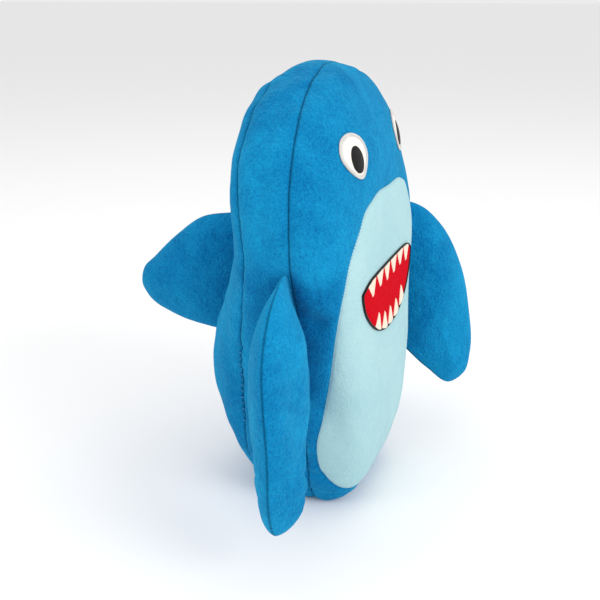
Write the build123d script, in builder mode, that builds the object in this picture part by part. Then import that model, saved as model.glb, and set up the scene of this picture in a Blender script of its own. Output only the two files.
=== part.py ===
"""Plush shark: a stuffed box cushion with three fins sewn into its seams.

Millimetres, +Z up. The origin is the middle of the flat patch that the shark
stands on. The belly faces -Y, and the shark's own right side is -X.
"""
from build123d import *
import os
from math import cos, pi, radians, sin, tan

# ---- driving dimensions: body ----
body_height = 383
skin = 2.0  # plush fabric with its pile
skin_gap = 0.1  # between layers that are sewn or glued flat on each other
patch = 0.9  # thickness of one applique layer
middle_y = -16  # where the body is widest, front to back
# height, half width, front of the body at -Y, back of the body at +Y
stations = [
    (0, 50, 58, 19),
    (14, 62, 70, 31),
    (50, 76, 84, 52),
    (110, 88, 89, 70),
    (175, 107, 85, 54),
    (240, 125, 83, 30),
    (300, 121, 79, 30),
    (345, 90, 67, 30),
    (372, 51, 47, 13),
    (body_height, 20, 29, -4),
]
back_squareness = 2.8  # exponent of the superellipse: 2 is an ellipse, more is squarer
front_squareness_low = 5.0
front_squareness_high = 2.4
front_rounds_from, front_rounds_to = 200, 310

# ---- driving dimensions: seams (Y, Z seen from the side) ----
front_seam = [(-33, -10), (-36, 120), (-38, 240), (-32, 340), (-24, 400)]
back_seam = [(22, -10), (23, 110), (6, 245), (9, 340), (10, 400)]
closure_low, closure_high = 80, 160  # hand-sewn closing on the right back seam
stitch_pitch, stitch_length, stitch_radius = 6.0, 3.4, 0.6

# ---- driving dimensions: face (X, Z seen from the front) ----
belly_side = [(0, 283), (45, 280), (82, 263), (103, 243), (110, 213), (98, 160), (81, 100),
              (70, 52), (58, 29), (35, 18), (0, 15)]
mouth_half, mouth_top, mouth_bottom = 76, 220, 165
mouth_edge = 1.6  # half width of the satin outline
upper_teeth_count, upper_tooth_pitch, upper_tooth_drop = 6, 23.0, 15.0
lower_teeth_count, lower_tooth_pitch, lower_tooth_rise = 5, 18.0, 14.0
eye_x, eye_z = 61, 317
eye_half_width, eye_half_height, eye_rim = 16, 16, 1.5
pupil_x, pupil_z, pupil_half_width, pupil_half_height = 62, 314, 7.5, 9.5

# ---- driving dimensions: fins ----
side_root_top, side_root_bottom = (122, -35, 231), (91, -36, 119)
dorsal_root_top, dorsal_root_bottom = (0, 31, 250), (0, 70, 131)
right_fin_forward, left_fin_forward = 6.5, 64.0  # degrees forward of square to the seam
root_standoff = 5.0  # seam allowance between the body and the line that the fin turns on
root_thickness = 2.4
hinge_gap = 4.4
# along the root from its top, inner edge, outer edge, thickness
side_fin_sections = [
    (10, 20, 42, 5), (0, 0, 58, 16), (-20, 0, 78, 29), (-50, 0, 94, 40), (-80, 0, 104, 45),
    (-106, 0, 109, 46), (-125, 27, 111, 40), (-145, 55, 111, 30), (-158, 72, 107, 17),
    (-166, 84, 99, 5),
]
dorsal_fin_sections = [
    (-4, 0, 14, 6), (-16, 0, 35, 18), (-30, 0, 59, 29), (-50, 0, 75, 36), (-75, 0, 88, 39),
    (-100, 0, 102, 36), (-114, 0, 102, 29), (-124, 4, 93, 18), (-130, 22, 80, 6),
]
fin_root_half_angle = 18  # degrees, so that a fin can turn without touching the body

os.makedirs("parts", exist_ok=True)


def keep_part(context, name):
    """Label one finished piece and write it."""
    context.part.label = name
    export_step(context.part, f"parts/{name}.step")


# ---- body surface ----
def front_squareness(height):
    """Flat and square at the belly, round at the head, with a smooth change between."""
    share = (height - front_rounds_from) / (front_rounds_to - front_rounds_from)
    share = min(max(share, 0), 1)
    blend = share * share * (3 - 2 * share)
    return front_squareness_low + (front_squareness_high - front_squareness_low) * blend


def section_points(station, grow):
    """Points round one body section: |x/a|^n + |y/b|^n = 1, with its own n front and back."""
    height, half_width, front, back = station
    points = []
    count = 24
    for step in range(count):
        angle = pi / 2 + 2 * pi * step / count  # from the middle of the back
        c, s = cos(angle), sin(angle)
        power = 2 / (back_squareness if s > 0 else front_squareness(height))
        reach = (back - middle_y if s > 0 else front + middle_y) + grow
        x = (half_width + grow) * abs(c) ** power * (1 if c > 0 else -1)
        y = middle_y + reach * abs(s) ** power * (1 if s > 0 else -1)
        points.append((x, y))
    return points


def body_form(grow):
    """The whole body as one closed solid, grown or shrunk evenly by a few millimetres."""
    with BuildPart() as form:
        for station in stations:
            height = -grow + station[0] * (body_height + 2 * grow) / body_height
            if grow > 0:
                height = station[0] * (body_height + grow) / body_height
            with BuildSketch(Plane.XY.offset(height)):
                with BuildLine():
                    Spline(*section_points(station, grow), periodic=True)
                make_face()
        loft()
    return form.part


stuffing_form = body_form(-skin)
skin_form = body_form(0)
base_layer_form = body_form(skin_gap)
first_layer_form = body_form(skin_gap + patch)
second_base_form = body_form(2 * skin_gap + patch)
second_layer_form = body_form(2 * skin_gap + 2 * patch)

with BuildPart() as body_stuffing:
    add(body_form(-skin - skin_gap))
keep_part(body_stuffing, "body_stuffing")

# ---- the skin: front panel, gusset strip and back panels, cut apart at the seams ----
reach = 260  # farther than any side of the shark


def seam_block(seam, behind):
    """Everything behind (+Y) or in front of (-Y) a seam line, as one prism along X."""
    side = reach if behind else -reach
    with BuildPart() as block:
        with BuildSketch(Plane.YZ.offset(-reach)):
            with BuildLine():
                curve = Spline(*seam)
                Polyline(curve @ 1, (side, seam[-1][1]), (side, seam[0][1]), curve @ 0)
            make_face()
        extrude(amount=2 * reach)
    return block.part


def side_block(direction):
    """Everything on one side of the centre plane, left (+X) or right (-X)."""
    with BuildPart() as block:
        with Locations((direction * reach / 2, 0, body_height / 2)):
            Box(reach, 2 * reach, 2 * body_height)
    return block.part


def belly_block():
    """The belly patch's outline as a prism along Y."""
    right = [(-x, z) for x, z in belly_side]
    left = [(x, z) for x, z in reversed(belly_side[1:-1])]
    with BuildPart() as block:
        with BuildSketch(Plane.XZ):
            with BuildLine():
                Spline(*right, *left, periodic=True)
            make_face()
        extrude(amount=reach)
    return block.part


in_front = seam_block(front_seam, behind=False)
behind_front = seam_block(front_seam, behind=True)
behind_back = seam_block(back_seam, behind=True)
before_back = seam_block(back_seam, behind=False)


with BuildPart() as whole_skin:
    add(skin_form)
    add(stuffing_form, mode=Mode.SUBTRACT)


def skin_piece(name, *blocks, cut=None):
    """One fabric panel: the whole skin, kept only inside all the given blocks."""
    with BuildPart() as kept_space:
        add(blocks[0])
        for block in blocks[1:]:
            add(block, mode=Mode.INTERSECT)
        if cut:
            add(cut, mode=Mode.SUBTRACT)
    cloth = whole_skin.part & kept_space.part
    with BuildPart() as panel:
        add(cloth, clean=False)
    keep_part(panel, name)


skin_piece("face_panel", in_front, cut=belly_block())
skin_piece("belly_panel", in_front, belly_block())
for side, direction in (("right", -1), ("left", 1)):
    skin_piece(f"{side}_gusset", behind_front, before_back, side_block(direction))
    skin_piece(f"{side}_back_panel", behind_back, side_block(direction))


# ---- applique: layers cut by outlines seen from the front ----
def layer(outer, inner, centre, size):
    """The thin space between two body forms, kept inside one box."""
    with BuildPart() as shell:
        add(outer)
        add(inner, mode=Mode.SUBTRACT)
        with Locations(centre):
            Box(*size, mode=Mode.INTERSECT)
    return shell.part


front_box = ((0, -reach / 2 - 40, body_height / 2 + 20), (2 * reach, reach, body_height))
right_box = ((-reach / 2 - 40, 0, body_height / 2), (reach, 2 * reach, body_height))
first_layer = layer(first_layer_form, base_layer_form, *front_box)
second_layer = layer(second_layer_form, second_base_form, *front_box)
thread_layer = layer(first_layer_form, base_layer_form, *right_box)


def applique(name, in_layer, draw):
    """One applique piece: its outline, seen from the front, carried onto a layer."""
    with BuildPart() as prisms:
        with BuildSketch(Plane.XZ):
            draw()
        extrude(amount=reach)
    cut = [prism & in_layer for prism in prisms.part.solids()]
    with BuildPart() as piece:
        add(cut, clean=False)
    keep_part(piece, name)


# ---- mouth ----
lip_drop = 4  # how far the upper lip falls from its middle to its corners
corner_stretch = 1.6  # a sharp corner moves out farther than the lips do
lower_lip_x, lower_lip_rise = 0.72 * mouth_half, 0.30 * (mouth_top - mouth_bottom)


def mouth_shape(grow, mode=Mode.ADD):
    """An open grin: nearly straight upper lip, deep round lower lip, grown evenly all round."""
    corner_x = mouth_half + corner_stretch * grow
    corner_z = mouth_top - lip_drop
    lip_x, lip_z = lower_lip_x + grow, mouth_bottom + lower_lip_rise - grow / 2
    with BuildLine() as lips:
        upper = Spline((-corner_x, corner_z), (0, mouth_top + grow), (corner_x, corner_z))
        Spline(upper @ 1, (lip_x, lip_z), (0, mouth_bottom - grow), (-lip_x, lip_z), upper @ 0)
    make_face(lips.edges(), mode=mode)


def row_of_teeth(count, pitch, root, tip_rise, half):
    """Triangles along a lip; root(x) is the lip's height and tip_rise is negative for upper."""
    for index in range(count):
        x = (index - (count - 1) / 2) * pitch
        with BuildLine() as tooth:
            Polyline((x - half, root(x)), (x + half, root(x)), (x, root(x) + tip_rise), close=True)
        make_face(tooth.edges())


def upper_root(x):
    return mouth_top - 1 - lip_drop * (x / mouth_half) ** 2


def lower_root(x):
    return mouth_bottom + 1 + lower_lip_rise * (x / lower_lip_x) ** 2


def mouth_ring():
    mouth_shape(mouth_edge)
    mouth_shape(-mouth_edge, mode=Mode.SUBTRACT)


def upper_teeth():
    row_of_teeth(upper_teeth_count, upper_tooth_pitch, upper_root, -upper_tooth_drop, 9.8)
    mouth_shape(-mouth_edge - 2 * skin_gap, mode=Mode.INTERSECT)


def lower_teeth():
    row_of_teeth(lower_teeth_count, lower_tooth_pitch, lower_root, lower_tooth_rise, 7.4)
    mouth_shape(-mouth_edge - 2 * skin_gap, mode=Mode.INTERSECT)


applique("mouth_patch", first_layer, lambda: mouth_shape(0))
applique("mouth_outline", second_layer, mouth_ring)
applique("upper_teeth", second_layer, upper_teeth)
applique("lower_teeth", second_layer, lower_teeth)

# ---- eyes ----
eye_outline = [(0, 1), (0.7, 0.72), (1, 0.05), (0.64, -0.6), (-0.15, -1), (-0.7, -0.5),
               (-0.95, 0.12), (-0.67, 0.74)]


def eye_shape(direction, grow, mode=Mode.ADD):
    """A round eye with a blunt point at the bottom, tipped towards the nose."""
    points = [(direction * (eye_x + x * (eye_half_width + grow)),
               eye_z + z * (eye_half_height + grow)) for x, z in eye_outline]
    with BuildLine() as outline:
        Spline(*points, periodic=True)
    make_face(outline.edges(), mode=mode)


def eye_ring(direction):
    eye_shape(direction, 0)
    eye_shape(direction, -eye_rim, mode=Mode.SUBTRACT)


def pupil_shape(direction):
    with Locations((direction * pupil_x, pupil_z)):
        Ellipse(pupil_half_width, pupil_half_height)


for side, direction in (("right", -1), ("left", 1)):
    applique(f"{side}_eye_white", first_layer, lambda: eye_shape(direction, 0))
    applique(f"{side}_eye_rim", second_layer, lambda: eye_ring(direction))
    applique(f"{side}_pupil", second_layer, lambda: pupil_shape(direction))

# ---- hand-sewn closing: short threads across the right back seam ----
with BuildLine():
    back_curve = Spline(*back_seam)


def back_seam_y(height):
    """Where the back seam is, front to back, at a height: the nearest of many points on it."""
    points = [back_curve.position_at(step / 200) for step in range(201)]
    return min(points, key=lambda point: abs(point.Y - height)).X


with BuildPart() as closure_stitches:
    with BuildSketch(Plane.YZ):
        for index in range(int((closure_high - closure_low) / stitch_pitch)):
            height = closure_low + index * stitch_pitch
            with Locations((back_seam_y(height), height)):
                SlotOverall(stitch_length, 2 * stitch_radius)
    extrude(amount=-reach)
    add(thread_layer, mode=Mode.INTERSECT)
keep_part(closure_stitches, "closure_stitches")


# ---- fins ----
def fin_plane(root_top, root_bottom, outward, forward, degrees):
    """The flat plane of a fin: origin on its turning line, X out along the fin, Y up the root."""
    top, bottom = Vector(*root_top), Vector(*root_bottom)
    up = (top - bottom).normalized()
    out = (Vector(*outward) - up * Vector(*outward).dot(up)).normalized()
    ahead = (Vector(*forward) - up * Vector(*forward).dot(up)).normalized()
    along = out * cos(radians(degrees)) + ahead * sin(radians(degrees))
    origin = top + out * root_standoff
    print("turning line", tuple(origin), "direction", tuple(up))
    return Plane(origin=origin, x_dir=along, z_dir=along.cross(up)), out


def fin_slice(plane, inner, outer, thickness, inset):
    """One slice across a fin: thin at its root seam, fullest past the middle, round at its edge."""
    inner, outer = inner + hinge_gap / 2 + inset, outer - inset
    width = outer - inner
    half = max(thickness / 2 - inset, 0.8)
    root_half = (root_thickness - inset) / 2
    slope = min(tan(radians(fin_root_half_angle)), 2 * half / width)
    waist = min(root_half + 0.3 * width * slope, 0.8 * half)
    with BuildSketch(plane) as fin_slice_sketch:
        with BuildLine():
            face = Spline((inner, root_half), (inner + 0.3 * width, waist),
                          (inner + 0.65 * width, half), (outer, 0), tangents=[(1, slope), (0, -1)])
            back = mirror(face, about=Plane.XZ)
            Line(face @ 0, back @ 0)
        make_face()
    return fin_slice_sketch.sketch.face()


def fin_form(plane, sections, inset):
    """The stuffed fin as one closed solid, lofted through slices square to its root."""
    slices = []
    for index, (along, inner, outer, thickness) in enumerate(sections):
        end_inset = inset if index == 0 else -inset if index == len(sections) - 1 else 0
        centre = plane.origin + plane.y_dir * (along - end_inset)
        slice_plane = Plane(origin=centre, x_dir=plane.x_dir, z_dir=plane.y_dir)
        slices.append(fin_slice(slice_plane, inner, outer, thickness, inset))
    with BuildPart() as form:
        loft(slices)
    return form.part


def make_fin(name, plane, sections, faces):
    """Two fabric panels sewn edge to edge, and the stuffing inside them."""
    outer, inner = fin_form(plane, sections, 0), fin_form(plane, sections, skin)
    for face, kept in zip(faces, (Keep.TOP, Keep.BOTTOM)):
        with BuildPart() as panel:
            add(outer)
            add(inner, mode=Mode.SUBTRACT)
            split(bisect_by=plane, keep=kept)
        keep_part(panel, f"{name}_{face}")
    with BuildPart() as stuffing:
        add(fin_form(plane, sections, skin + skin_gap))
    keep_part(stuffing, f"{name}_stuffing")


def make_root(name, root_top, root_bottom, out):
    """The gathered root edge of a fin, caught in the body's seam."""
    top, bottom = Vector(*root_top), Vector(*root_bottom)
    up = (top - bottom).normalized()
    plane = Plane(origin=(top + bottom) / 2, x_dir=out, z_dir=out.cross(up))
    length = (top - bottom).length
    tab = root_standoff - hinge_gap / 2
    with BuildPart() as root:
        with BuildSketch(plane):
            with Locations((tab / 2 - 4, 0)):
                Rectangle(tab + 8, length)
        extrude(amount=root_thickness / 2, both=True)
        add(base_layer_form, mode=Mode.SUBTRACT)
    keep_part(root, name)


for side, direction, degrees in (("right", -1, right_fin_forward), ("left", 1, left_fin_forward)):
    top = (direction * side_root_top[0], *side_root_top[1:])
    bottom = (direction * side_root_bottom[0], *side_root_bottom[1:])
    plane, out = fin_plane(top, bottom, (direction, 0, 0), (0, -1, 0), degrees)
    faces = ("front", "back") if plane.z_dir.Y < 0 else ("back", "front")
    make_fin(f"{side}_fin", plane, side_fin_sections, faces)
    make_root(f"{side}_fin_root", top, bottom, out)

plane, out = fin_plane(dorsal_root_top, dorsal_root_bottom, (0, 1, 0), (1, 0, 0), 0)
faces = ("left", "right") if plane.z_dir.X > 0 else ("right", "left")
make_fin("dorsal_fin", plane, dorsal_fin_sections, faces)
make_root("dorsal_fin_root", dorsal_root_top, dorsal_root_bottom, out)
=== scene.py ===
# %% [markdown]
# # A stuffed plush shark that sits upright
#
# The toy is a sewn skin of short blue plush, filled until it is round. Eight panels of cloth, three
# fins and a felt face make it up. Every panel is worked out from one description of the body, so two
# neighbours always meet on the seam that they share.

import math

import bpy
import numpy as np
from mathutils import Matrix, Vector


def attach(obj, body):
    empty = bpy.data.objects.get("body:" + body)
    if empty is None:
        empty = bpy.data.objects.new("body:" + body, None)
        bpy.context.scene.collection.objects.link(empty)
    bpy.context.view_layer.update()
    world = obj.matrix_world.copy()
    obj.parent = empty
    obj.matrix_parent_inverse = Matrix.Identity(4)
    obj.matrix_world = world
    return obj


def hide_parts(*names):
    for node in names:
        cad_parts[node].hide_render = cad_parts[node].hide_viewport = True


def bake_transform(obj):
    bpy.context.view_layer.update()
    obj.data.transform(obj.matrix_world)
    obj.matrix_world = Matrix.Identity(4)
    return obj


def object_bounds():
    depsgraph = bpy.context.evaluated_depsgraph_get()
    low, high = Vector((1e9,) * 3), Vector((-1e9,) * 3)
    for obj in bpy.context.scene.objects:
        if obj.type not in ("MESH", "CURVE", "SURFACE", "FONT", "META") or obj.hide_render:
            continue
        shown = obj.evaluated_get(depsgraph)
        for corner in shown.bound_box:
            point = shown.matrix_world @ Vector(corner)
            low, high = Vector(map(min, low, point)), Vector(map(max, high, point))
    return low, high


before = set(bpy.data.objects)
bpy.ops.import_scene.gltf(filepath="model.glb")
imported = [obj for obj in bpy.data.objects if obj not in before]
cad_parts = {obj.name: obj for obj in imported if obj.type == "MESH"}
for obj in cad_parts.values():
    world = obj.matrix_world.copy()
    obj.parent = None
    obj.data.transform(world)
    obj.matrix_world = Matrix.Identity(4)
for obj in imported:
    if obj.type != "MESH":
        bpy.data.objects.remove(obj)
cad_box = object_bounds()

# %% [markdown]
# ## Camera
#
# The camera comes first, because every later piece is judged through it. It stands to the shark's
# right and a little above, and looks at the middle of the body. Sizes in this file are in
# millimetres, and MM turns them into Blender's metres.

# %% Camera
MM = 0.001
LOOK_AT = np.array((0.0, 0.0, 171.6))
CAMERA_TURN = math.radians(69.65)
CAMERA_RISE = math.radians(19.5)
CAMERA_DISTANCE = 780.0
LENS = 51.48

toward_camera = np.array(
    (
        -math.sin(CAMERA_TURN) * math.cos(CAMERA_RISE),
        -math.cos(CAMERA_TURN) * math.cos(CAMERA_RISE),
        math.sin(CAMERA_RISE),
    )
)
camera = bpy.data.objects.new("camera", bpy.data.cameras.new("camera"))
camera.data.lens = LENS
camera.location = (LOOK_AT + toward_camera * CAMERA_DISTANCE) * MM
camera.rotation_euler = (math.pi / 2 - CAMERA_RISE, 0.0, -CAMERA_TURN)
bpy.context.collection.objects.link(camera)
bpy.context.scene.camera = camera
print("camera at", [round(value, 3) for value in camera.location])

# %% [markdown]
# ## Smooth curves through a few points
#
# A pattern maker draws a seam through a handful of marks and lets a bent strip find the rest. The
# same is done here: a Hermite curve passes through each mark, and its slope there comes from the
# marks on both sides. A closed outline repeats its first marks after its last ones.


# %% Curves
def flowing(knots, values, at):
    """Cubic Hermite curve: value = sum of the two ends and their slopes, weighted by cubics of t."""
    knots = np.asarray(knots, float)
    values = np.asarray(values, float)
    slopes = np.gradient(values, knots, axis=0)
    at = np.clip(at, knots[0], knots[-1])
    i = np.clip(np.searchsorted(knots, at, side="right") - 1, 0, len(knots) - 2)
    span = knots[i + 1] - knots[i]
    t = (at - knots[i]) / span
    if values.ndim > 1:
        t = t[..., None]
        span = span[..., None]
    start = (1 + 2 * t) * (1 - t) ** 2 * values[i] + t * (1 - t) ** 2 * span * slopes[i]
    return start + t * t * (3 - 2 * t) * values[i + 1] - t * t * (1 - t) * span * slopes[i + 1]


def run_length(points):
    """How far each point lies along the chain of points."""
    steps = np.linalg.norm(np.diff(points, axis=0), axis=1)
    return np.concatenate(([0.0], np.cumsum(steps)))


def open_curve(marks, count):
    """Evenly spaced points on a smooth curve through the marks."""
    marks = np.asarray(marks, float)
    knots = run_length(marks)
    return flowing(knots, marks, np.linspace(0, knots[-1], count))


def closed_curve(marks, count):
    """Evenly spaced points on a smooth loop through the marks, without repeating the first."""
    marks = np.asarray(marks, float)
    lap = np.vstack((marks[-3:], marks, marks[:4]))
    knots = run_length(lap)
    at = np.linspace(knots[3], knots[3 + len(marks)], count, endpoint=False)
    return flowing(knots, lap, at)


def eased(value):
    """0 below 0, 1 above 1, and 3v^2 - 2v^3 between."""
    value = np.clip(value, 0, 1)
    return value * value * (3 - 2 * value)


# %% [markdown]
# ## The shape of the body
#
# The stuffed body stands on a small flat base, bellies out at the shoulders and closes in a round
# head. Each row of it is a superellipse: a circle whose sides are drawn out square by an exponent.
# The front is squarer low down, where the belly is flat, and rounder at the head. A row is named by
# how far it lies along the side profile, from the middle of the base to the top of the head, and a
# point on it by its angle from the middle of the front.

# %% Body profile
MIDDLE_Y = -16.0
BODY_HEIGHT = float(cad_box[1].z) / MM
# height, half width, how far the front and the back stand out from the vertical axis
BODY_ROWS = np.array(
    (
        (0.0, 0.0, 16.0, -16.0),
        (0.0, 30.0, 42.0, 4.0),
        (0.6, 47.0, 55.0, 15.0),
        (6.0, 56.0, 63.0, 24.0),
        (14.0, 62.0, 70.0, 31.0),
        (50.0, 76.0, 84.0, 52.0),
        (110.0, 88.0, 89.0, 70.0),
        (175.0, 107.0, 85.0, 54.0),
        (240.0, 125.0, 83.0, 30.0),
        (300.0, 121.0, 79.0, 30.0),
        (345.0, 90.5, 67.0, 30.0),
        (362.0, 70.0, 56.0, 22.0),
        (373.0, 47.0, 44.0, 11.0),
        (380.5, 24.0, 30.0, -2.0),
        (BODY_HEIGHT, 0.0, 16.0, -16.0),
    )
)
ROW_MARKS = run_length(BODY_ROWS[:, :2])
PROFILE_LENGTH = ROW_MARKS[-1]
BACK_SQUARENESS = 2.8
BASE_SQUARENESS = 5.0
HEAD_SQUARENESS = 2.4


def body_row(along):
    """Height, half width, front depth and back depth of a row, and the exponent of its front."""
    row = flowing(ROW_MARKS, BODY_ROWS, np.asarray(along, float))
    height = np.clip(row[..., 0], 0, BODY_HEIGHT)
    half = np.maximum(row[..., 1], 1e-6)
    front = np.maximum(row[..., 2] + MIDDLE_Y, 1e-6)
    back = np.maximum(row[..., 3] - MIDDLE_Y, 1e-6)
    square = BASE_SQUARENESS + (HEAD_SQUARENESS - BASE_SQUARENESS) * eased((height - 200) / 110)
    return height, half, front, back, square


def body_point(angle, along):
    """Superellipse in polar form: radius = ((|sin|/width)^n + (|cos|/depth)^n)^(-1/n)."""
    height, half, front, back, square = body_row(along)
    across = np.sin(angle)
    ahead = np.cos(angle)
    depth = np.where(ahead > 0, front, back)
    power = np.where(ahead > 0, square, BACK_SQUARENESS)
    radius = ((np.abs(across) / half) ** power + (np.abs(ahead) / depth) ** power) ** (-1 / power)
    return np.stack((radius * across, MIDDLE_Y - radius * ahead, height + 0 * radius), -1)


def body_normal(angle, along):
    """Outward direction: the cross product of the surface's two tangents."""
    along = np.clip(along, 3.0, PROFILE_LENGTH - 3.0)
    turn = body_point(angle + 1e-3, along) - body_point(angle - 1e-3, along)
    rise = body_point(angle, along + 0.2) - body_point(angle, along - 0.2)
    out = np.cross(turn, rise)
    return out / np.maximum(np.linalg.norm(out, axis=-1, keepdims=True), 1e-12)


PROFILE_POINTS = np.linspace(ROW_MARKS[3], PROFILE_LENGTH, 3000)
PROFILE_HEIGHTS = np.maximum.accumulate(body_row(PROFILE_POINTS)[0])


def along_at(height):
    """How far along the profile a height lies, above the rounded edge of the base."""
    return np.interp(height, PROFILE_HEIGHTS, PROFILE_POINTS)


def front_place(x, z):
    """Angle and row of the point on the front of the body at a given width and height."""
    along = along_at(z)
    _, half, front, _, square = body_row(along)
    inside = np.clip(1 - (np.abs(x) / half) ** square, 0, 1)
    return np.arctan2(x, front * inside ** (1 / square) + 1e-9), along


print("body profile", round(PROFILE_LENGTH), "mm long, height", round(BODY_HEIGHT), "mm")

# %% [markdown]
# ## Seams
#
# Two seams run up each side: one bounds the face panel in front and one bounds the back panel. The
# pale belly is let into the face panel along a closed seam. Each is a curve on the body, written as
# how far forward or back it lies at each height, so an angle for any row follows from it.

# %% Seam lines
# distance behind the vertical axis, height
FRONT_SEAM = np.array(((-33.0, -10.0), (-36.0, 120.0), (-38.0, 240.0), (-32.0, 340.0), (-24.0, 400.0)))
BACK_SEAM = np.array(((22.0, -10.0), (23.0, 110.0), (6.0, 245.0), (9.0, 340.0), (10.0, 400.0)))
# degrees round from the middle of the front, height, for one half of the belly's edge
BELLY_HALF = np.array(
    (
        (0, 284),
        (35, 281),
        (45.5, 274),
        (51, 262),
        (56.5, 246),
        (60.5, 218),
        (63, 184),
        (65, 139),
        (67.5, 100),
        (70.5, 70),
        (68, 45),
        (58, 28),
        (31, 17),
        (0, 15),
    )
)
BELLY_MARKS = np.stack((np.radians(BELLY_HALF[:, 0]), along_at(BELLY_HALF[:, 1])), -1)
# millimetres per radian, so that distances round and up the body compare
REACH_ROUND = 90.0
half_marks = BELLY_MARKS * (REACH_ROUND, 1.0)
half_marks = np.vstack((half_marks[1:2] * (-1, 1), half_marks, half_marks[-2:-1] * (-1, 1)))
half_mark_lengths = run_length(half_marks)
edge_places = np.linspace(half_mark_lengths[1], half_mark_lengths[-2], 361)
belly_half_edge = flowing(half_mark_lengths, half_marks, edge_places) / (REACH_ROUND, 1)
belly_half_edge[[0, -1], 0] = 0
belly_edge = np.vstack((belly_half_edge, belly_half_edge[-2:0:-1] * (-1, 1)))
belly_edge_points = body_point(belly_edge[:, 0], belly_edge[:, 1])


def front_seam_y(height):
    return flowing(FRONT_SEAM[:, 1], FRONT_SEAM[:, 0], height)


def back_seam_y(height):
    return flowing(BACK_SEAM[:, 1], BACK_SEAM[:, 0], height)


def front_seam_angle(along):
    """Angle at which a row crosses the front seam, or 0 where the row is all behind it."""
    height, half, front, _, square = body_row(along)
    forward = MIDDLE_Y - front_seam_y(height)
    inside = np.clip(1 - np.clip(forward / front, 0, 1) ** square, 0, 1)
    return np.arctan2(half * inside ** (1 / square), forward)


def back_seam_angle(along):
    """Angle at which a row crosses the back seam, or half a turn where it is all in front of it."""
    height, half, _, back, _ = body_row(along)
    behind = back_seam_y(height) - MIDDLE_Y
    inside = np.clip(1 - np.clip(behind / back, 0, 1) ** BACK_SQUARENESS, 0, 1)
    return np.pi - np.arctan2(half * inside ** (1 / BACK_SQUARENESS), behind)


# %% [markdown]
# ## What stuffing and thread do to the skin
#
# A stuffed skin is never a smooth egg. Thread pulls each seam into a groove with small puckers, the
# filling makes soft lumps, the cloth creases where the body bears on its base, and a fin's seam
# dents the cloth that it is sewn to. All of this is one height at each point of the skin, added
# along the outward direction, so that both panels at a seam move together.

# %% Lumps
chance = np.random.default_rng(12)


def lump_waves(wavelength, count):
    """Random plane waves of one wavelength, as directions times 2 pi / wavelength, and phases."""
    ways = chance.normal(size=(count, 3))
    ways /= np.linalg.norm(ways, axis=1, keepdims=True)
    return ways * (2 * np.pi / wavelength), chance.uniform(0, 2 * np.pi, count)


LARGE_LUMPS = lump_waves(85.0, 14)
SMALL_LUMPS = lump_waves(27.0, 22)


def lumps(points, waves):
    """Sum of sine waves over space, about 1 high."""
    ways, phases = waves
    return np.sin(points @ ways.T + phases).sum(-1) * (1.4 / np.sqrt(len(phases)))


# %% Roots of the fins
SIDE_ROOT_TOP = np.array((122.0, -35.0, 231.0))
SIDE_ROOT_BOTTOM = np.array((91.0, -36.0, 119.0))
BACK_ROOT_TOP = np.array((0.0, 31.0, 250.0))
BACK_ROOT_BOTTOM = np.array((0.0, 70.0, 131.0))
MIRROR = np.array((-1.0, 1.0, 1.0))


def from_line(points, start, end):
    """Distance of each point from the straight run between start and end."""
    run = end - start
    share = np.clip(((points - start) @ run) / (run @ run), 0, 1)
    return np.linalg.norm(points - start - share[..., None] * run, axis=-1)


def from_loop(points, loop):
    """Distance of each point from the nearest of the points of a closed line."""
    flat = points.reshape(-1, points.shape[-1])
    nearest = np.empty(len(flat))
    for part in np.array_split(np.arange(len(flat)), max(1, len(flat) // 20000)):
        apart = flat[part, None, :] - loop[None, :, :]
        nearest[part] = np.sqrt((apart**2).sum(-1).min(1))
    return nearest.reshape(points.shape[:-1])


# %% Relief of the skin
SEAM_DEPTH = 2.0
SEAM_REACH = 4.2
PUCKER_PITCH = 10.5
HEAD_SEAM_FROM = 340.0
FAR = 100.0
# height on the side of the body, how deep, how wide
BASE_CREASES = ((4.0, 1.3, 1.7), (10.5, 1.6, 2.0), (18.0, 1.5, 2.3), (41.0, 1.2, 4.0))
# centre, radius and depth of the dents beside each side fin
DENTS = (
    ((113.0, -56.0, 194.0), 9.0, 4.5),
    ((117.0, -42.0, 203.0), 10.0, 3.5),
    ((88.0, -50.0, 92.0), 18.0, 1.5),
)
CLOSURE = (80.0, 160.0)


def groove(apart, reach=SEAM_REACH):
    """A seam's cross-section: exp(-(distance / reach)^2)."""
    return np.exp(-((apart / reach) ** 2))


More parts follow.
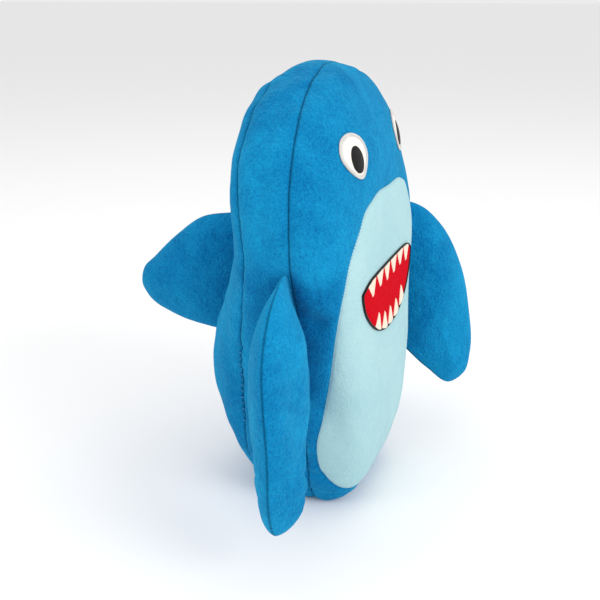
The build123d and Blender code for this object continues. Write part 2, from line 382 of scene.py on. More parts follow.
def skin_relief(points):
    """Height in mm of the sewn and stuffed skin over the plain form, at points on that form."""
    x, y, z = points[..., 0], points[..., 1], points[..., 2]
    calm = 1 - 0.9 * eased((-y - 40) / 25)
    lifted = calm * (1.2 * lumps(points, LARGE_LUMPS) + 0.45 * lumps(points, SMALL_LUMPS))
    on_front = np.abs(y - front_seam_y(z))
    on_back = np.abs(y - back_seam_y(z))
    has_middle_seam = (y > back_seam_y(z)) | (z > HEAD_SEAM_FROM)
    middle = np.abs(x) + np.where(has_middle_seam, 0, FAR) + 3 * eased((z - HEAD_SEAM_FROM) / 20)
    belly = from_loop(points, belly_edge_points[::2])
    seam = np.minimum(np.minimum(on_front, on_back), np.minimum(middle, belly))
    lifted -= SEAM_DEPTH * (0.45 * groove(seam) + 0.55 * groove(seam, 1.3))
    lifted += 0.8 * calm * groove(seam - 13, 8)
    pucker = np.sin(2 * np.pi * z / PUCKER_PITCH + 1.5 * lumps(points, LARGE_LUMPS))
    lifted += 0.22 * calm * pucker * groove(seam, 8)
    for root_top, root_bottom in (
        (SIDE_ROOT_TOP, SIDE_ROOT_BOTTOM),
        (SIDE_ROOT_TOP * MIRROR, SIDE_ROOT_BOTTOM * MIRROR),
        (BACK_ROOT_TOP, BACK_ROOT_BOTTOM),
    ):
        lifted -= 3.0 * groove(from_line(points, root_top, root_bottom), 13)
    beside = eased((np.abs(x) - 22) / 24)
    for height, depth, reach in BASE_CREASES:
        bend = height + 2.5 * np.sin((y + 20) / 17) + lumps(points, LARGE_LUMPS)
        lifted -= depth * groove(z - bend, reach) * beside * groove(y + 42, 36)
    for centre, radius, depth in DENTS:
        for side in (1, -1):
            apart = np.linalg.norm(points - np.array(centre) * (side, 1, 1), axis=-1)
            lifted -= depth * groove(apart, radius)
    closing = eased((z - CLOSURE[0] + 8) / 8) * eased((CLOSURE[1] + 8 - z) / 8) * (x < 0)
    lifted -= closing * groove(on_back, 7) * (1.2 + 0.8 * np.sin(2 * np.pi * z / 12))
    return lifted * eased(z / 4) * eased((BODY_HEIGHT + 2 - z) / 12)


def painted_seam_shade(points):
    """Painted shade in the fold of a body seam: 1 there, falling to 0 a few millimetres away."""
    y, z = points[..., 1], points[..., 2]
    back = np.abs(points[..., 0]) + np.where(y > back_seam_y(z), 0, FAR)
    sides = np.minimum(np.abs(y - front_seam_y(z)), np.abs(y - back_seam_y(z)))
    return 0.75 * groove(np.minimum(sides, back), 0.7)


def skin_point(angle, along, lift=0.0):
    """A point on the stuffed skin, lift mm above it."""
    plain = body_point(angle, along)
    height = skin_relief(plain) + lift
    return plain + body_normal(angle, along) * height[..., None]


def on_front(x, z, lift):
    """The point of the skin's front seen at width x and height z, lift mm above the cloth."""
    angle, along = front_place(x, z)
    return skin_point(angle, along, lift)


# %% [markdown]
# ## From a grid of points to a piece
#
# Every piece below is a rectangle of points. Its faces join neighbours in the grid, and where a
# grid's edge shrinks to one point, as at the top of the head, the repeated points are merged.
# The faces are turned once, as a whole, if they look inwards.


# %% Meshes
def grid_faces(rows, columns, around=False):
    """Corner numbers of the quads of a grid; around joins the last column to the first."""
    index = np.arange(rows * columns).reshape(rows, columns)
    beside = np.roll(index, -1, axis=1) if around else index[:, 1:]
    here = index if around else index[:, :-1]
    return np.stack((here[:-1], beside[:-1], beside[1:], here[1:]), -1).reshape(-1, 4)


def outward_turned(points, faces, outward):
    """The faces, reversed where most of them look against the outward direction."""
    a, b, c, d = (points[faces[:, k]] for k in range(4))
    normals = np.cross(c - a, d - b)
    facing = (normals * outward[faces].mean(1)).sum()
    return faces if facing > 0 else faces[:, ::-1]


def merged(points, faces):
    """Joins points that lie within a hundredth of a millimetre, and drops faces that vanish."""
    _, first, number = np.unique(
        np.round(points, 2), axis=0, return_index=True, return_inverse=True
    )
    faces = number.reshape(-1)[faces]
    corners = [tuple(dict.fromkeys(face)) for face in faces.tolist()]
    return points[first], [corner for corner in corners if len(corner) > 2], first


def make_piece(name, points, faces, material, along=None, seam=None):
    """A mesh object at the origin, with smooth faces and a material."""
    points, faces, kept = merged(points, faces)
    mesh = bpy.data.meshes.new(name)
    mesh.from_pydata((points * MM).tolist(), [], faces)
    # along holds the distance along a satin edge; seam holds the painted shade of the seams' folds
    for attribute, values in (("along", along), ("seam", seam)):
        if values is not None:
            mesh.attributes.new(attribute, "FLOAT", "POINT").data.foreach_set(
                "value", values.ravel()[kept].astype(np.float32)
            )
    mesh.polygons.foreach_set("use_smooth", np.ones(len(mesh.polygons), bool))
    mesh.materials.append(material)
    mesh.validate()
    piece = bpy.data.objects.new(name, mesh)
    bpy.context.collection.objects.link(piece)
    return piece


def grid_piece(name, points, outward, material, around=False, along=None, seam=None):
    """A piece from a grid of points and the outward direction at each."""
    faces = grid_faces(points.shape[0], points.shape[1], around)
    flat = points.reshape(-1, 3)
    outward = np.broadcast_to(outward, points.shape).reshape(-1, 3)
    return make_piece(name, flat, outward_turned(flat, faces, outward), material, along, seam)


# %% [markdown]
# ## Short plush
#
# The cloth is a knitted plush with a dense pile about two millimetres long. A hand that has brushed
# it leaves lighter and darker patches, because the pile then leans towards or away from the light.
# A shared group makes that: soft patches, the fine speckle of the pile ends, and a bump for both.
# The velvet glow at the rim belongs to the shader's own sheen.


# %% Helpers for materials
def new_material(name, **constants):
    """An empty Principled material with constant values set on the shader's own sockets."""
    material = bpy.data.materials.new(name)
    material.use_nodes = True
    shader = material.node_tree.nodes["Principled BSDF"]
    for socket, value in constants.items():
        shader.inputs[socket.replace("_", " ")].default_value = value
    return material, material.node_tree, shader


def joined(tree, start, end):
    tree.links.new(start, end)


def calculation(tree, operation, first, second):
    """A Math node; each input is a socket or a number."""
    node = tree.nodes.new("ShaderNodeMath")
    node.operation = operation
    for socket, value in zip(node.inputs, (first, second)):
        if isinstance(value, (int, float)):
            socket.default_value = value
        else:
            joined(tree, value, socket)
    return node.outputs[0]


def weighed(tree, first, first_share, second, second_share):
    """first * its share + second * its share."""
    return calculation(
        tree,
        "ADD",
        calculation(tree, "MULTIPLY", first, first_share),
        calculation(tree, "MULTIPLY", second, second_share),
    )


def noise(tree, place, scale, detail=2.0, roughness=0.5, distortion=0.0):
    node = tree.nodes.new("ShaderNodeTexNoise")
    node.inputs["Scale"].default_value = scale
    node.inputs["Detail"].default_value = detail
    node.inputs["Roughness"].default_value = roughness
    node.inputs["Distortion"].default_value = distortion
    joined(tree, place, node.inputs["Vector"])
    return node.outputs["Fac"]


def between(tree, share, low, high):
    """A colour ramp from low to high as share goes from 0 to 1."""
    node = tree.nodes.new("ShaderNodeMix")
    node.data_type = "RGBA"
    joined(tree, share, node.inputs["Factor"])
    node.inputs["A"].default_value = (*low, 1)
    node.inputs["B"].default_value = (*high, 1)
    return node.outputs["Result"]


# %% Pile group
def pile_group():
    """Patches and speckle of a brushed pile, as a mask from 0 to 1, and the normal they give."""
    group = bpy.data.node_groups.new("brushed pile", "ShaderNodeTree")
    for name, default in (("Patches", 1.0), ("Speckle", 0.5), ("Depth", 0.6)):
        socket = group.interface.new_socket(name, in_out="INPUT", socket_type="NodeSocketFloat")
        socket.default_value = default
    group.interface.new_socket("Mask", in_out="OUTPUT", socket_type="NodeSocketFloat")
    group.interface.new_socket("Normal", in_out="OUTPUT", socket_type="NodeSocketVector")
    given = group.nodes.new("NodeGroupInput")
    result = group.nodes.new("NodeGroupOutput")
    place = group.nodes.new("ShaderNodeTexCoord").outputs["Object"]
    drifts = noise(group, place, 11.0, 2.0, 0.5, 1.0)
    strokes = noise(group, place, 34.0, 3.0, 0.6, 0.8)
    patches = weighed(group, drifts, 0.65, strokes, 0.35)
    tufts = noise(group, place, 190.0, 3.0, 0.6, 0.4)
    ends = noise(group, place, 620.0, 2.0, 0.6)
    patch_part = calculation(group, "MULTIPLY", patches, given.outputs["Patches"])
    speckle = weighed(group, tufts, 0.25, ends, 0.75)
    speckle_part = calculation(group, "MULTIPLY", speckle, given.outputs["Speckle"])
    whole = calculation(group, "ADD", patch_part, speckle_part)
    parts = calculation(group, "ADD", given.outputs["Patches"], given.outputs["Speckle"])
    share = calculation(group, "DIVIDE", whole, parts)
    spread = group.nodes.new("ShaderNodeMapRange")
    spread.inputs["From Min"].default_value = 0.38
    spread.inputs["From Max"].default_value = 0.62
    joined(group, share, spread.inputs["Value"])
    joined(group, spread.outputs["Result"], result.inputs["Mask"])
    rough = weighed(group, ends, 0.5, tufts, 0.9)
    bump = group.nodes.new("ShaderNodeBump")
    bump.inputs["Distance"].default_value = 0.003
    joined(group, given.outputs["Depth"], bump.inputs["Strength"])
    joined(group, rough, bump.inputs["Height"])
    joined(group, bump.outputs["Normal"], result.inputs["Normal"])
    return group


PILE = pile_group()


def pile_cloth(name, dark, light, patches, speckle, depth, sheen, sheen_colour):
    """A cloth whose colour goes from dark to light with the pile's mask, with painted shade in the seams'
    folds.
    """
    material, tree, shader = new_material(
        name,
        Sheen_Weight=sheen,
        Sheen_Roughness=0.42,
        Sheen_Tint=(*sheen_colour, 1),
        Specular_IOR_Level=0.04,
        Roughness=0.92,
    )
    pile = tree.nodes.new("ShaderNodeGroup")
    pile.node_tree = PILE
    for socket, value in (("Patches", patches), ("Speckle", speckle), ("Depth", depth)):
        pile.inputs[socket].default_value = value
    cloth = between(tree, pile.outputs["Mask"], dark, light)
    # Painted shade: where the seam attribute is high, in the folds of the seams, the colour darkens towards
    # 0.22 of the dark colour.
    seam = tree.nodes.new("ShaderNodeAttribute")
    seam.attribute_name = "seam"
    seam_shade_mix = tree.nodes.new("ShaderNodeMix")
    seam_shade_mix.data_type = "RGBA"
    joined(tree, seam.outputs["Fac"], seam_shade_mix.inputs["Factor"])
    joined(tree, cloth, seam_shade_mix.inputs["A"])
    seam_shade_mix.inputs["B"].default_value = (*(0.22 * value for value in dark), 1)
    joined(tree, seam_shade_mix.outputs["Result"], shader.inputs["Base Color"])
    joined(tree, pile.outputs["Normal"], shader.inputs["Normal"])
    return material


blue_plush = pile_cloth(
    "blue_plush", (0.0, 0.12, 0.33), (0.008, 0.28, 0.55), 1.0, 0.8, 0.8, 0.34, (0.12, 0.75, 1.0)
)
pale_plush = pile_cloth(
    "pale_blue_plush", (0.33, 0.54, 0.58), (0.41, 0.62, 0.64), 1.0, 1.0, 0.35, 0.12, (0.8, 0.97, 1.0)
)
print("materials so far", [material.name for material in bpy.data.materials])

# %% [markdown]
# ## Felt and embroidery
#
# The mouth and the eyes are felt, cut out and sewn on, and a dense row of satin stitches covers
# each cut edge. Felt is a mat of short fibres: the same group, with no patches. A satin stitch is a
# bundle of shiny parallel threads across the edge, so its bump follows the distance along it, kept
# in an attribute named along.


# %% Felt and thread
red_felt = pile_cloth(
    "red_felt", (0.50, 0.0, 0.004), (0.60, 0.0, 0.012), 0.3, 1.0, 0.35, 0.03, (1.0, 0.3, 0.3)
)
cream_felt = pile_cloth("cream_felt", (0.76, 0.60, 0.47), (0.88, 0.76, 0.64), 0.3, 1.0, 0.35, 0.1, (1, 1, 1))
white_felt = pile_cloth("white_felt", (0.80, 0.74, 0.66), (0.90, 0.86, 0.80), 0.3, 1.0, 0.3, 0.1, (1, 1, 1))
THREAD_PITCH = 0.55


def satin_thread(name, colour, roughness):
    """Thread colour, with a ridge at each thread: height = sine of the distance along / pitch."""
    material, tree, shader = new_material(
        name, Specular_IOR_Level=0.25, Roughness=roughness
    )
    along = tree.nodes.new("ShaderNodeAttribute")
    along.attribute_name = "along"
    place = tree.nodes.new("ShaderNodeTexCoord").outputs["Object"]
    uneven = calculation(tree, "MULTIPLY", noise(tree, place, 300.0), 2.5)
    turns = calculation(tree, "MULTIPLY", along.outputs["Fac"], 2 * math.pi / THREAD_PITCH)
    ridge = calculation(tree, "SINE", calculation(tree, "ADD", turns, uneven), 0.0)
    bump = tree.nodes.new("ShaderNodeBump")
    bump.inputs["Strength"].default_value = 0.7
    bump.inputs["Distance"].default_value = 0.0003
    joined(tree, ridge, bump.inputs["Height"])
    joined(tree, bump.outputs["Normal"], shader.inputs["Normal"])
    dull = tuple(0.8 * value for value in colour)
    shade = between(tree, noise(tree, place, 140.0), dull, colour)
    joined(tree, shade, shader.inputs["Base Color"])
    return material


black_thread = satin_thread("black_thread", (0.004, 0.004, 0.005), 0.5)
white_thread = satin_thread("white_thread", (0.86, 0.84, 0.80), 0.5)
blue_thread = satin_thread("blue_thread", (0.012, 0.22, 0.50), 0.5)

# %% [markdown]
# ## Side gussets and back panels
#
# A gusset runs from the front seam to the back seam and closes over the head. Its rows follow the
# body's rows, and its columns divide the angle between the two seams evenly. A back panel is made
# the same way, from the back seam to the middle of the back. A row is added at each long edge,
# turned in under the seam, as an allowance is.

# %% Panels of the sides and the back
ROWS = 360
HEM = 2.4


def row_spacing():
    """Rows along the profile, closer together towards both ends."""
    share = np.linspace(0, 1, ROWS)
    return PROFILE_LENGTH * (share - 0.09 * np.sin(2 * np.pi * share))


def panel_between(name, first_angle, last_angle, columns, nodes):
    """Skin between two angles of each row, with both long edges turned in."""
    along = row_spacing()
    even = np.linspace(0, 1, columns)
    share = np.concatenate(([0.0], even - 0.1 * np.sin(2 * np.pi * even), [1.0]))
    angle = first_angle[:, None] + (last_angle - first_angle)[:, None] * share
    lift = np.zeros(angle.shape)
    lift[:, [0, -1]] = -HEM
    rows = np.broadcast_to(along[:, None], angle.shape)
    points = skin_point(angle, rows, lift)
    # painted shade in the folds of the seams, carried in the seam attribute
    seam = painted_seam_shade(body_point(angle, rows))
    panel = grid_piece(name, points, body_normal(angle, rows), blue_plush, seam=seam)
    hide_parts(*nodes)
    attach(panel, "body")
    return panel


rows_along = row_spacing()
front_angle = front_seam_angle(rows_along)
back_angle = back_seam_angle(rows_along)
for side, name in ((-1, "right"), (1, "left")):
    panel_between(name + "_gusset_cloth", side * front_angle, side * back_angle, 110, [name + "_gusset"])
    panel_between(
        name + "_back_cloth", side * back_angle, side * np.full(ROWS, np.pi), 130, [name + "_back_panel"]
    )

# %% [markdown]
# ## Face panel and belly
#
# The face panel is a ring: its outer edge is the front seam and its inner edge is the belly's seam.
# Both edges are walked from the top of the head round to the base, and the ring's rows blend from
# one to the other. The belly fills the hole with rings that shrink to its middle.

# %% Face panel
RING_STEPS = 90


def half_outer_edge():
    """Angle and row along the left front seam, from where it closes on top to below the base."""
    along = np.linspace(0, PROFILE_LENGTH, 4000)
    angle = front_seam_angle(along)
    open_rows = np.flatnonzero(angle > 1e-3)
    return along[open_rows[-1] + 1], along[open_rows[0] - 1]


top_row, bottom_row = half_outer_edge()
belly_steps = run_length(body_point(belly_half_edge[:, 0], belly_half_edge[:, 1]))
walk = belly_steps / belly_steps[-1]
shoulder = np.interp(225.0, body_row(belly_half_edge[::-1, 1])[0], walk[::-1])
foot = np.interp(30.0, body_row(belly_half_edge[::-1, 1])[0], walk[::-1])
outer_rows = np.interp(
    walk,
    (0, shoulder * 0.55, shoulder, foot, 1),
    (top_row, along_at(335.0), along_at(225.0), along_at(30.0), bottom_row),
)
outer_angle = front_seam_angle(outer_rows)
outer_angle[[0, -1]] = 0.0
inner_angle, inner_rows = belly_half_edge.T


def both_halves(angle, rows):
    """Left half from top to bottom, then the right half back up, as one closed walk."""
    return np.concatenate((angle, -angle[-2:0:-1])), np.concatenate((rows, rows[-2:0:-1]))


outer_angle, outer_rows = both_halves(outer_angle, outer_rows)
inner_angle, inner_rows = both_halves(inner_angle, inner_rows)
even = np.linspace(0, 1, RING_STEPS)
share = np.concatenate(([0.0], even - 0.12 * np.sin(2 * np.pi * even), [1.0]))[:, None]
face_angle = inner_angle + (outer_angle - inner_angle) * share
face_rows = inner_rows + (outer_rows - inner_rows) * share
face_lift = np.zeros(face_angle.shape)
face_lift[[0, -1]] = -HEM
face_cloth = grid_piece(
    "face_cloth",
    skin_point(face_angle, face_rows, face_lift),
    body_normal(face_angle, face_rows),
    blue_plush,
    around=True,
    # painted shade in the folds of the seams, carried in the seam attribute
    seam=painted_seam_shade(body_point(face_angle, face_rows)),
)
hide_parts("face_panel", "body_stuffing")
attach(face_cloth, "body")

# %% Belly
BELLY_MIDDLE = np.array((0.0, along_at(150.0)))
belly_share = np.concatenate(([1.0], np.cos(np.linspace(0, np.pi / 2, 120))))[:, None]
belly_angle = belly_edge[:, 0] * belly_share
belly_rows = BELLY_MIDDLE[1] + (belly_edge[:, 1] - BELLY_MIDDLE[1]) * belly_share
belly_lift = np.zeros(belly_angle.shape)
belly_lift[0] = -HEM
belly_cloth = grid_piece(
    "belly_cloth",
    skin_point(belly_angle, belly_rows, belly_lift),
    body_normal(belly_angle, belly_rows),
    pale_plush,
    around=True,
)
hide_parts("belly_panel")
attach(belly_cloth, "body")
print("face and belly", len(face_cloth.data.vertices), len(belly_cloth.data.vertices), "points")

# %% [markdown]
# ## The mouth
#
# The mouth is a red felt patch on the upper part of the belly, shaped like a slice of melon. It is
# a grid whose columns run from the upper lip to the lower lip. The black edge is a ribbon of satin
# stitches: a half-round profile carried round the closed outline.

# %% Mouth patch
MOUTH_HALF = 75.0
FACE_MIDDLE = -6.0
MOUTH_CORNER_Z = 212.0
MOUTH_TOP = 221.0
MOUTH_BOTTOM = 164.0
FELT = 0.9


def upper_lip(x):
    """A shallow arch: top minus a drop that grows with the square of the width."""
    return MOUTH_TOP - (MOUTH_TOP - MOUTH_CORNER_Z) * np.abs(x / MOUTH_HALF) ** 6


def lower_lip(x):
    """A superellipse bowl from corner to corner."""
    inside = np.clip(1 - np.abs(x / MOUTH_HALF) ** 2.2, 0, 1)
    return MOUTH_CORNER_Z - (MOUTH_CORNER_Z - MOUTH_BOTTOM) * inside**0.59


patch_x = MOUTH_HALF * np.sin(np.linspace(-np.pi / 2, np.pi / 2, 150))
patch_share = np.linspace(0, 1, 60)[:, None]
patch_z = upper_lip(patch_x) + (lower_lip(patch_x) - upper_lip(patch_x)) * patch_share
patch_x = np.broadcast_to(patch_x, patch_z.shape)
patch_lift = np.full(patch_z.shape, FELT)
patch_lift[[0, -1]] = -0.6
FORWARD = np.array((0.0, -1.0, 0.0))
mouth_points = on_front(FACE_MIDDLE + patch_x, patch_z, patch_lift)
mouth_felt = grid_piece("mouth_felt", mouth_points, FORWARD, red_felt)
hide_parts("mouth_patch")
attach(mouth_felt, "body")


# %% Satin edges
def satin_edge(name, outline, width, height, base, material, node):
    """A half-round ridge along a closed outline: across = width cos, lift = height sin."""
    ahead = np.roll(outline, -1, axis=0) - np.roll(outline, 1, axis=0)
    ahead /= np.linalg.norm(ahead, axis=1, keepdims=True)
    across = np.stack((ahead[:, 1], -ahead[:, 0]), -1)
    turn = np.linspace(-0.25, np.pi + 0.25, 13)
    offset = np.cos(turn)[None, :, None] * (width / 2) * across[:, None, :]
    place = outline[:, None, :] + offset
    lift = np.broadcast_to(base + height * np.sin(turn), place.shape[:2])
    points = on_front(place[..., 0], place[..., 1], lift)
    steps = np.linalg.norm(np.roll(outline, -1, axis=0) - outline, axis=1)
    along = np.broadcast_to(np.concatenate(([0.0], np.cumsum(steps)))[:, None], (len(outline) + 1, 13))
    points = np.concatenate((points, points[:1]))
    faces = grid_faces(len(outline) + 1, 13)
    flat = points.reshape(-1, 3)
    faces = outward_turned(flat, faces, np.broadcast_to(FORWARD, flat.shape))
    edge = make_piece(name, flat, faces, material, along)
    if node:
        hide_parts(node)
    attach(edge, "body")
    return edge


lip_x = MOUTH_HALF * np.cos(np.linspace(0, np.pi, 260, endpoint=False))
lips = np.concatenate(
    (np.stack((lip_x, upper_lip(lip_x)), -1), np.stack((-lip_x, lower_lip(-lip_x)), -1))
)
lips = closed_curve(lips[::8] + (FACE_MIDDLE, 0.0), 720)
satin_edge("mouth_edge", lips, 2.0, 1.2, FELT - 0.2, black_thread, "mouth_outline")

# %% [markdown]
# ## Teeth
#
# Each row of teeth is cut from cream felt as pointed scallops that grow from the lip. One tooth is a
# grid from side to side and from root to tip; its width narrows to a rounded point and its middle
# stands a little higher than its edges. The rows are repeated along each lip.

# %% Teeth
TOOTH_ROOT = 0.6


def tooth_grid(centre, half, root_z, tip_z, lean):
    """Width = half * (1 - v)^0.92 from root to tip; lift = crown * (1 - u^2), down at the edges."""
    u = np.linspace(-1, 1, 17)[None, :]
    v = np.linspace(0, 1, 22)[:, None]
    wide = half * (1 - v) ** 0.92
    x = centre + lean * v + u * wide
    z = root_z(x) * (1 - v) + (root_z(np.full_like(x, centre)) + tip_z) * v
    edge = np.minimum(1, 5 * (1 - np.abs(u))) * np.minimum(1, 8 * (1 - v))
    lift = TOOTH_ROOT + (0.8 + 0.5 * (1 - u**2)) * edge
    return on_front(FACE_MIDDLE + x, z, lift)


def row_of_teeth(name, centres, half, root_z, tip_z, node):
    """All the teeth of one lip, as one piece."""
    grids = [
        tooth_grid(centre, half * stretch, root_z, tip_z * (2 - stretch), lean)
        for centre, stretch, lean in centres
    ]
    faces = grid_faces(*grids[0].shape[:2])
    points = np.concatenate([grid.reshape(-1, 3) for grid in grids])
    count = grids[0].shape[0] * grids[0].shape[1]
    faces = np.concatenate([faces + count * number for number in range(len(grids))])
    faces = outward_turned(points, faces, np.broadcast_to(FORWARD, points.shape))
    teeth = make_piece(name, points, faces, cream_felt)
    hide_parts(node)
    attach(teeth, "body")


def spaced(count, pitch, lean):
    """Centres of a row about the middle, each with a little difference in width and lean."""
    places = (np.arange(count) - (count - 1) / 2) * pitch
    return [(place, chance.uniform(0.95, 1.05), lean * place / places[-1]) for place in places]


row_of_teeth("upper_teeth_felt", spaced(6, 22.3, -1.5), 11.0, upper_lip, -15.5, "upper_teeth")
row_of_teeth("lower_teeth_felt", spaced(5, 19.5, -2.0), 9.4, lower_lip, 15.5, "lower_teeth")
print("teeth", 6, "and", 5)

# %% [markdown]
# ## Eyes
#
# An eye is a lemon-shaped piece of white felt with a row of white satin stitches round it, and an
# oval pupil worked in black thread. The felt and the pupil are rings that shrink to their middle
# and swell slightly, because thread and stuffing both press them outwards.

# %% Eyes
EYE_CENTRE = np.array((58.0, 317.0))
EYE_HALF = np.array((16.0, 16.0))
EYE_MARKS = np.array(
    ((0, 1), (0.7, 0.72), (1, 0.05), (0.64, -0.6), (-0.15, -1), (-0.7, -0.5), (-0.95, 0.12), (-0.67, 0.74))
)
PUPIL_CENTRE = np.array((58.0, 314.5))
PUPIL_HALF = np.array((7.6, 10.2))
# the left eye sits a little nearer the middle than the right one, and higher
LEFT_EYE_SHIFT = np.array((-4.0, 5.0))


def swelling_patch(name, outline, base, crown, material, node):
    """Rings from the outline to its middle: lift = base + crown * (1 - share^2), edge turned down."""
    middle = outline.mean(0)
    share = np.concatenate(([1.0], np.linspace(1, 0, 24)))[:, None, None]
    place = middle + (outline - middle)[None] * share
    lift = base + crown * (1 - share[:, :, 0] ** 2) + np.zeros(place.shape[:2])
    lift[0] = base - 1.0
    points = on_front(place[..., 0], place[..., 1], lift)
    across = np.broadcast_to(place[..., 1], points.shape[:2])
    patch = grid_piece(name, points, FORWARD, material, around=True, along=across)
    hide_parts(node)
    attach(patch, "body")


for side, name in ((-1, "right"), (1, "left")):
    outward_x = np.array((side, 1.0))
    face_shift = np.array((FACE_MIDDLE, 0.0)) + (LEFT_EYE_SHIFT if side > 0 else 0.0)
    eye_outline = closed_curve((EYE_CENTRE + EYE_MARKS * EYE_HALF) * outward_x + face_shift, 180)
    swelling_patch(name + "_eye_felt", eye_outline, 0.8, 0.9, white_felt, name + "_eye_white")
    satin_edge(
        name + "_eye_edge", eye_outline, 2.8, 1.1, 0.8, white_thread, name + "_eye_rim"
    )
    turn = np.linspace(0, 2 * np.pi, 120, endpoint=False)
    oval = np.stack((np.cos(turn), np.sin(turn)), -1) * PUPIL_HALF
    pupil_outline = (PUPIL_CENTRE + oval) * outward_x + face_shift
    swelling_patch(
        name + "_pupil_thread", pupil_outline, 1.8, 0.9, black_thread, name + "_pupil"
    )
print("eyes made")

# %% [markdown]
# ## The closing stitches
#
# The body is filled through a gap in the right back seam, which is then drawn shut by hand. Each
# ladder stitch shows as a short bridge of thread over the seam: a tube whose height is half a sine.

# %% Closing stitches
STITCH_PITCH = 6.0
STITCH_HALF = 1.9
THREAD_RADIUS = 0.55


def ladder_stitches():
    """Tubes across the seam: centre = along the cloth, lifted by a half sine; ring = circle."""
    count = int((CLOSURE[1] - CLOSURE[0]) // STITCH_PITCH)
    height = CLOSURE[0] + STITCH_PITCH * (np.arange(count) + 0.5)
    row = along_at(height)[:, None, None]
    share = np.linspace(-1, 1, 11)[None, :, None]
    ring = np.linspace(0, 2 * np.pi, 9)[None, None, :]
    _, half, _, _, _ = body_row(row)
    seam_angle = -back_seam_angle(row)
    taper = np.sqrt(np.clip(1.02 - share**2, 0, 1))
    angle = seam_angle + share * STITCH_HALF / half
    lift = 1.3 * np.cos(share * np.pi / 2) + 0.5 + THREAD_RADIUS * taper * np.sin(ring)
    aside = THREAD_RADIUS * taper * np.cos(ring)
    points = skin_point(angle + 0 * ring, row + aside, lift)
    return points


stitch_points = ladder_stitches()
stitch_count, stitch_steps, ring_steps = stitch_points.shape[:3]
one = grid_faces(stitch_steps, ring_steps)
stitch_faces = np.concatenate([one + stitch_steps * ring_steps * number for number in range(stitch_count)])
stitch_flat = stitch_points.reshape(-1, 3)
stitch_out = (stitch_points - stitch_points.mean(2, keepdims=True)).reshape(-1, 3)
closing_thread = make_piece(
    "closing_thread",
    stitch_flat,
    outward_turned(stitch_flat, stitch_faces, stitch_out),
    blue_thread,
)
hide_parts("closure_stitches")
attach(closing_thread, "body")
print("closing stitches", stitch_count)

# %% [markdown]
# ## Fins
#
# A fin is two matching pieces of plush, sewn together round the edge and filled. Its plane is given
# by the line of its root, up the body, and a direction outwards. Points on the edge are joined to
# points on the root by straight lines, and the half thickness at a point grows with its distance
# from the edge like a rounded pillow's, and shrinks again towards the flat root.

# %% Fin plane and outline
# outwards from the root, up along the root from its top
SIDE_FIN_MARKS = (
    (-10, 1),
    (12, 11),
    (46, 8),
    (70, -10),
    (93, -48),
    (105, -89),
    (112, -135),
    (108, -157),
    (93, -168),
    (68, -155),
    (34, -129),
    (-10, -105),
)
BACK_FIN_MARKS = (
    (-10, 4),
    (12, -3),
    (34, -14),
    (57, -27),
    (78, -55),
    (95, -86),
    (103, -102),
    (101, -117),
    (88, -128),
    (62, -132),
    (22, -129),
    (-10, -122),
)
EDGE_COUNT = 300
SHEET_STEPS = 90


def fin_plane(top, bottom, sideways, turn_degrees):
    """Unit directions up the root, outwards, and out of the fin's front, after a turn."""
    up = (top - bottom) / np.linalg.norm(top - bottom)
    ahead = np.array((0.0, -1.0, 0.0)) if sideways else np.array((1.0, 0.0, 0.0))
    ahead = ahead - up * (ahead @ up)
    ahead /= np.linalg.norm(ahead)
    out = np.cross(ahead, up)
    out *= np.sign(out[0] * top[0]) if sideways else np.sign(out[1])
    turn = math.radians(turn_degrees)
    return (
        up,
        math.cos(turn) * out + math.sin(turn) * ahead,
        math.cos(turn) * ahead - math.sin(turn) * out,
    )


def fin_sheets(marks, half_thick, fullness, creases, top, plane):
    """Points of the front and the back sheet, the sheets' outward direction, and the painted shade along the
    edge seam.
    """
    up, out, face = plane
    edge = open_curve(marks, EDGE_COUNT)
    share_root = np.linspace(0, 1, EDGE_COUNT)
    root = np.stack((np.full(EDGE_COUNT, -10.0), edge[0, 1] + (edge[-1, 1] - edge[0, 1]) * share_root), -1)
    share = np.sin(np.linspace(0, np.pi / 2, SHEET_STEPS))[:, None, None]
    flat = root + (edge - root) * share
    inside = from_loop(flat, edge)
    inside[-1] = 0
    full = np.clip(inside / fullness, 0, 1)
    from_root = 0.1 + 0.9 * eased((flat[..., 0] + 8) / 68)
    thick = half_thick * (1 - (1 - full) ** 2) ** 0.66 * from_root
    place = top + flat[..., 0, None] * out + flat[..., 1, None] * up
    walked = np.broadcast_to(run_length(edge), inside.shape)
    wave = lumps(place, LARGE_LUMPS)
    thick = thick * (1 + 0.045 * wave + 0.02 * lumps(place, SMALL_LUMPS))
    near_edge = np.exp(-inside / 9) * full**0.5
    thick = thick + 0.75 * np.sin(2 * np.pi * walked / 13 + 2 * wave) * near_edge
    for level, slope, depth, reach in creases:
        across = flat[..., 1] - level - slope * (flat[..., 0] - 60) - 3 * wave
        thick = thick - depth * groove(across, reach) * full
    bow = 2.0 * wave * eased(inside / 40) + 1.2 * np.sin(walked / 21) * np.exp(-inside / 22)
    middle = place + face * (bow * eased(flat[..., 0] / 40))[..., None]
    # painted shade in the fold of the fin's edge seam, carried in the seam attribute
    seam = 0.6 * groove(inside, 0.22)
    return middle + face * thick[..., None], middle - face * thick[..., None], face, seam


def sew_fin(name, marks, half_thick, fullness, creases, top, plane, nodes):
    """Both sheets of a fin, as two pieces."""
    front, back, face, seam = fin_sheets(marks, half_thick, fullness, creases, top, plane)
    for points, outward, node in ((front, face, nodes[0]), (back, -face, nodes[1])):
        sheet = grid_piece(node + "_cloth", points, outward, blue_plush, seam=seam)
        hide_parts(node)
        if node == nodes[0]:
            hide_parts(name + "_stuffing", name + "_root")
        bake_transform(sheet)


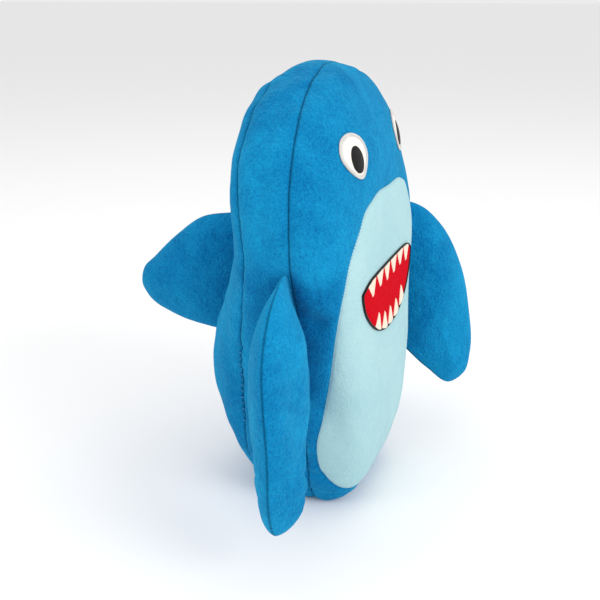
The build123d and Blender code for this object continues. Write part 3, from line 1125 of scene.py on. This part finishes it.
# %% Three fins
# level along the root, slope, depth, reach
TIP_CREASES = ((-128, 0.35, 3.6, 4.0), (-143, 0.2, 3.2, 3.2), (-98, -0.3, 2.2, 5.0))
SOFT_CREASES = ((-120, 0.2, 1.4, 8.0),)
right_top = SIDE_ROOT_TOP * MIRROR
right_plane = fin_plane(right_top, SIDE_ROOT_BOTTOM * MIRROR, True, 6.5)
left_plane = fin_plane(SIDE_ROOT_TOP, SIDE_ROOT_BOTTOM, True, 64.0)
back_plane = fin_plane(BACK_ROOT_TOP, BACK_ROOT_BOTTOM, False, 0.0)
sew_fin(
    "right_fin", SIDE_FIN_MARKS, 24.0, 62.0, TIP_CREASES, right_top, right_plane,
    ("right_fin_front", "right_fin_back"),
)
sew_fin(
    "left_fin", SIDE_FIN_MARKS, 22.0, 58.0, SOFT_CREASES, SIDE_ROOT_TOP, left_plane,
    ("left_fin_front", "left_fin_back"),
)
sew_fin(
    "dorsal_fin", BACK_FIN_MARKS, 18.0, 48.0, SOFT_CREASES, BACK_ROOT_TOP, back_plane,
    ("dorsal_fin_left", "dorsal_fin_right"),
)
print("fins sewn")

# %% [markdown]
# ## Floor and light
#
# The toy stands on a plain white floor in a bright white room. A broad soft light in front and to
# one side shapes the body, a second fills the shadow side, and one above glows on the head.

# %% Floor
floor_mesh = bpy.data.meshes.new("floor")
FLOOR_HALF = 60.0
floor_corners = np.array(((-1, -1, 0), (1, -1, 0), (1, 1, 0), (-1, 1, 0))) * FLOOR_HALF
floor_mesh.from_pydata(floor_corners.tolist(), [], [(0, 1, 2, 3)])
floor = bpy.data.objects.new("floor", floor_mesh)
floor_material, _, _ = new_material(
    "pale_floor", Base_Color=(0.93, 0.93, 0.93, 1), Roughness=0.9, Specular_IOR_Level=0.1
)
floor_mesh.materials.append(floor_material)
bpy.context.collection.objects.link(floor)


# %% Lights
def soft_light(name, place, size, power):
    """A square area light that faces the middle of the body."""
    light = bpy.data.objects.new(name, bpy.data.lights.new(name, "AREA"))
    light.data.size = size
    light.data.energy = power
    place = np.array(place)
    away = place - LOOK_AT * MM
    light.location = place
    rise = math.atan2(away[2], math.hypot(away[0], away[1]))
    light.rotation_euler = (math.pi / 2 - rise, 0, math.atan2(away[0], -away[1]))
    bpy.context.collection.objects.link(light)


soft_light("key", (-0.7, -2.0, 1.3), 1.3, 24)
soft_light("fill", (-1.6, 1.4, 1.0), 1.0, 9)
soft_light("top", (0.2, 0.1, 2.2), 1.6, 8)
world = bpy.data.worlds.new("white room")
world.use_nodes = True
world.node_tree.nodes["Background"].inputs["Color"].default_value = (1, 1, 1, 1)
world.node_tree.nodes["Background"].inputs["Strength"].default_value = 0.85
bpy.context.scene.world = world
bpy.context.scene.view_settings.view_transform = "Standard"
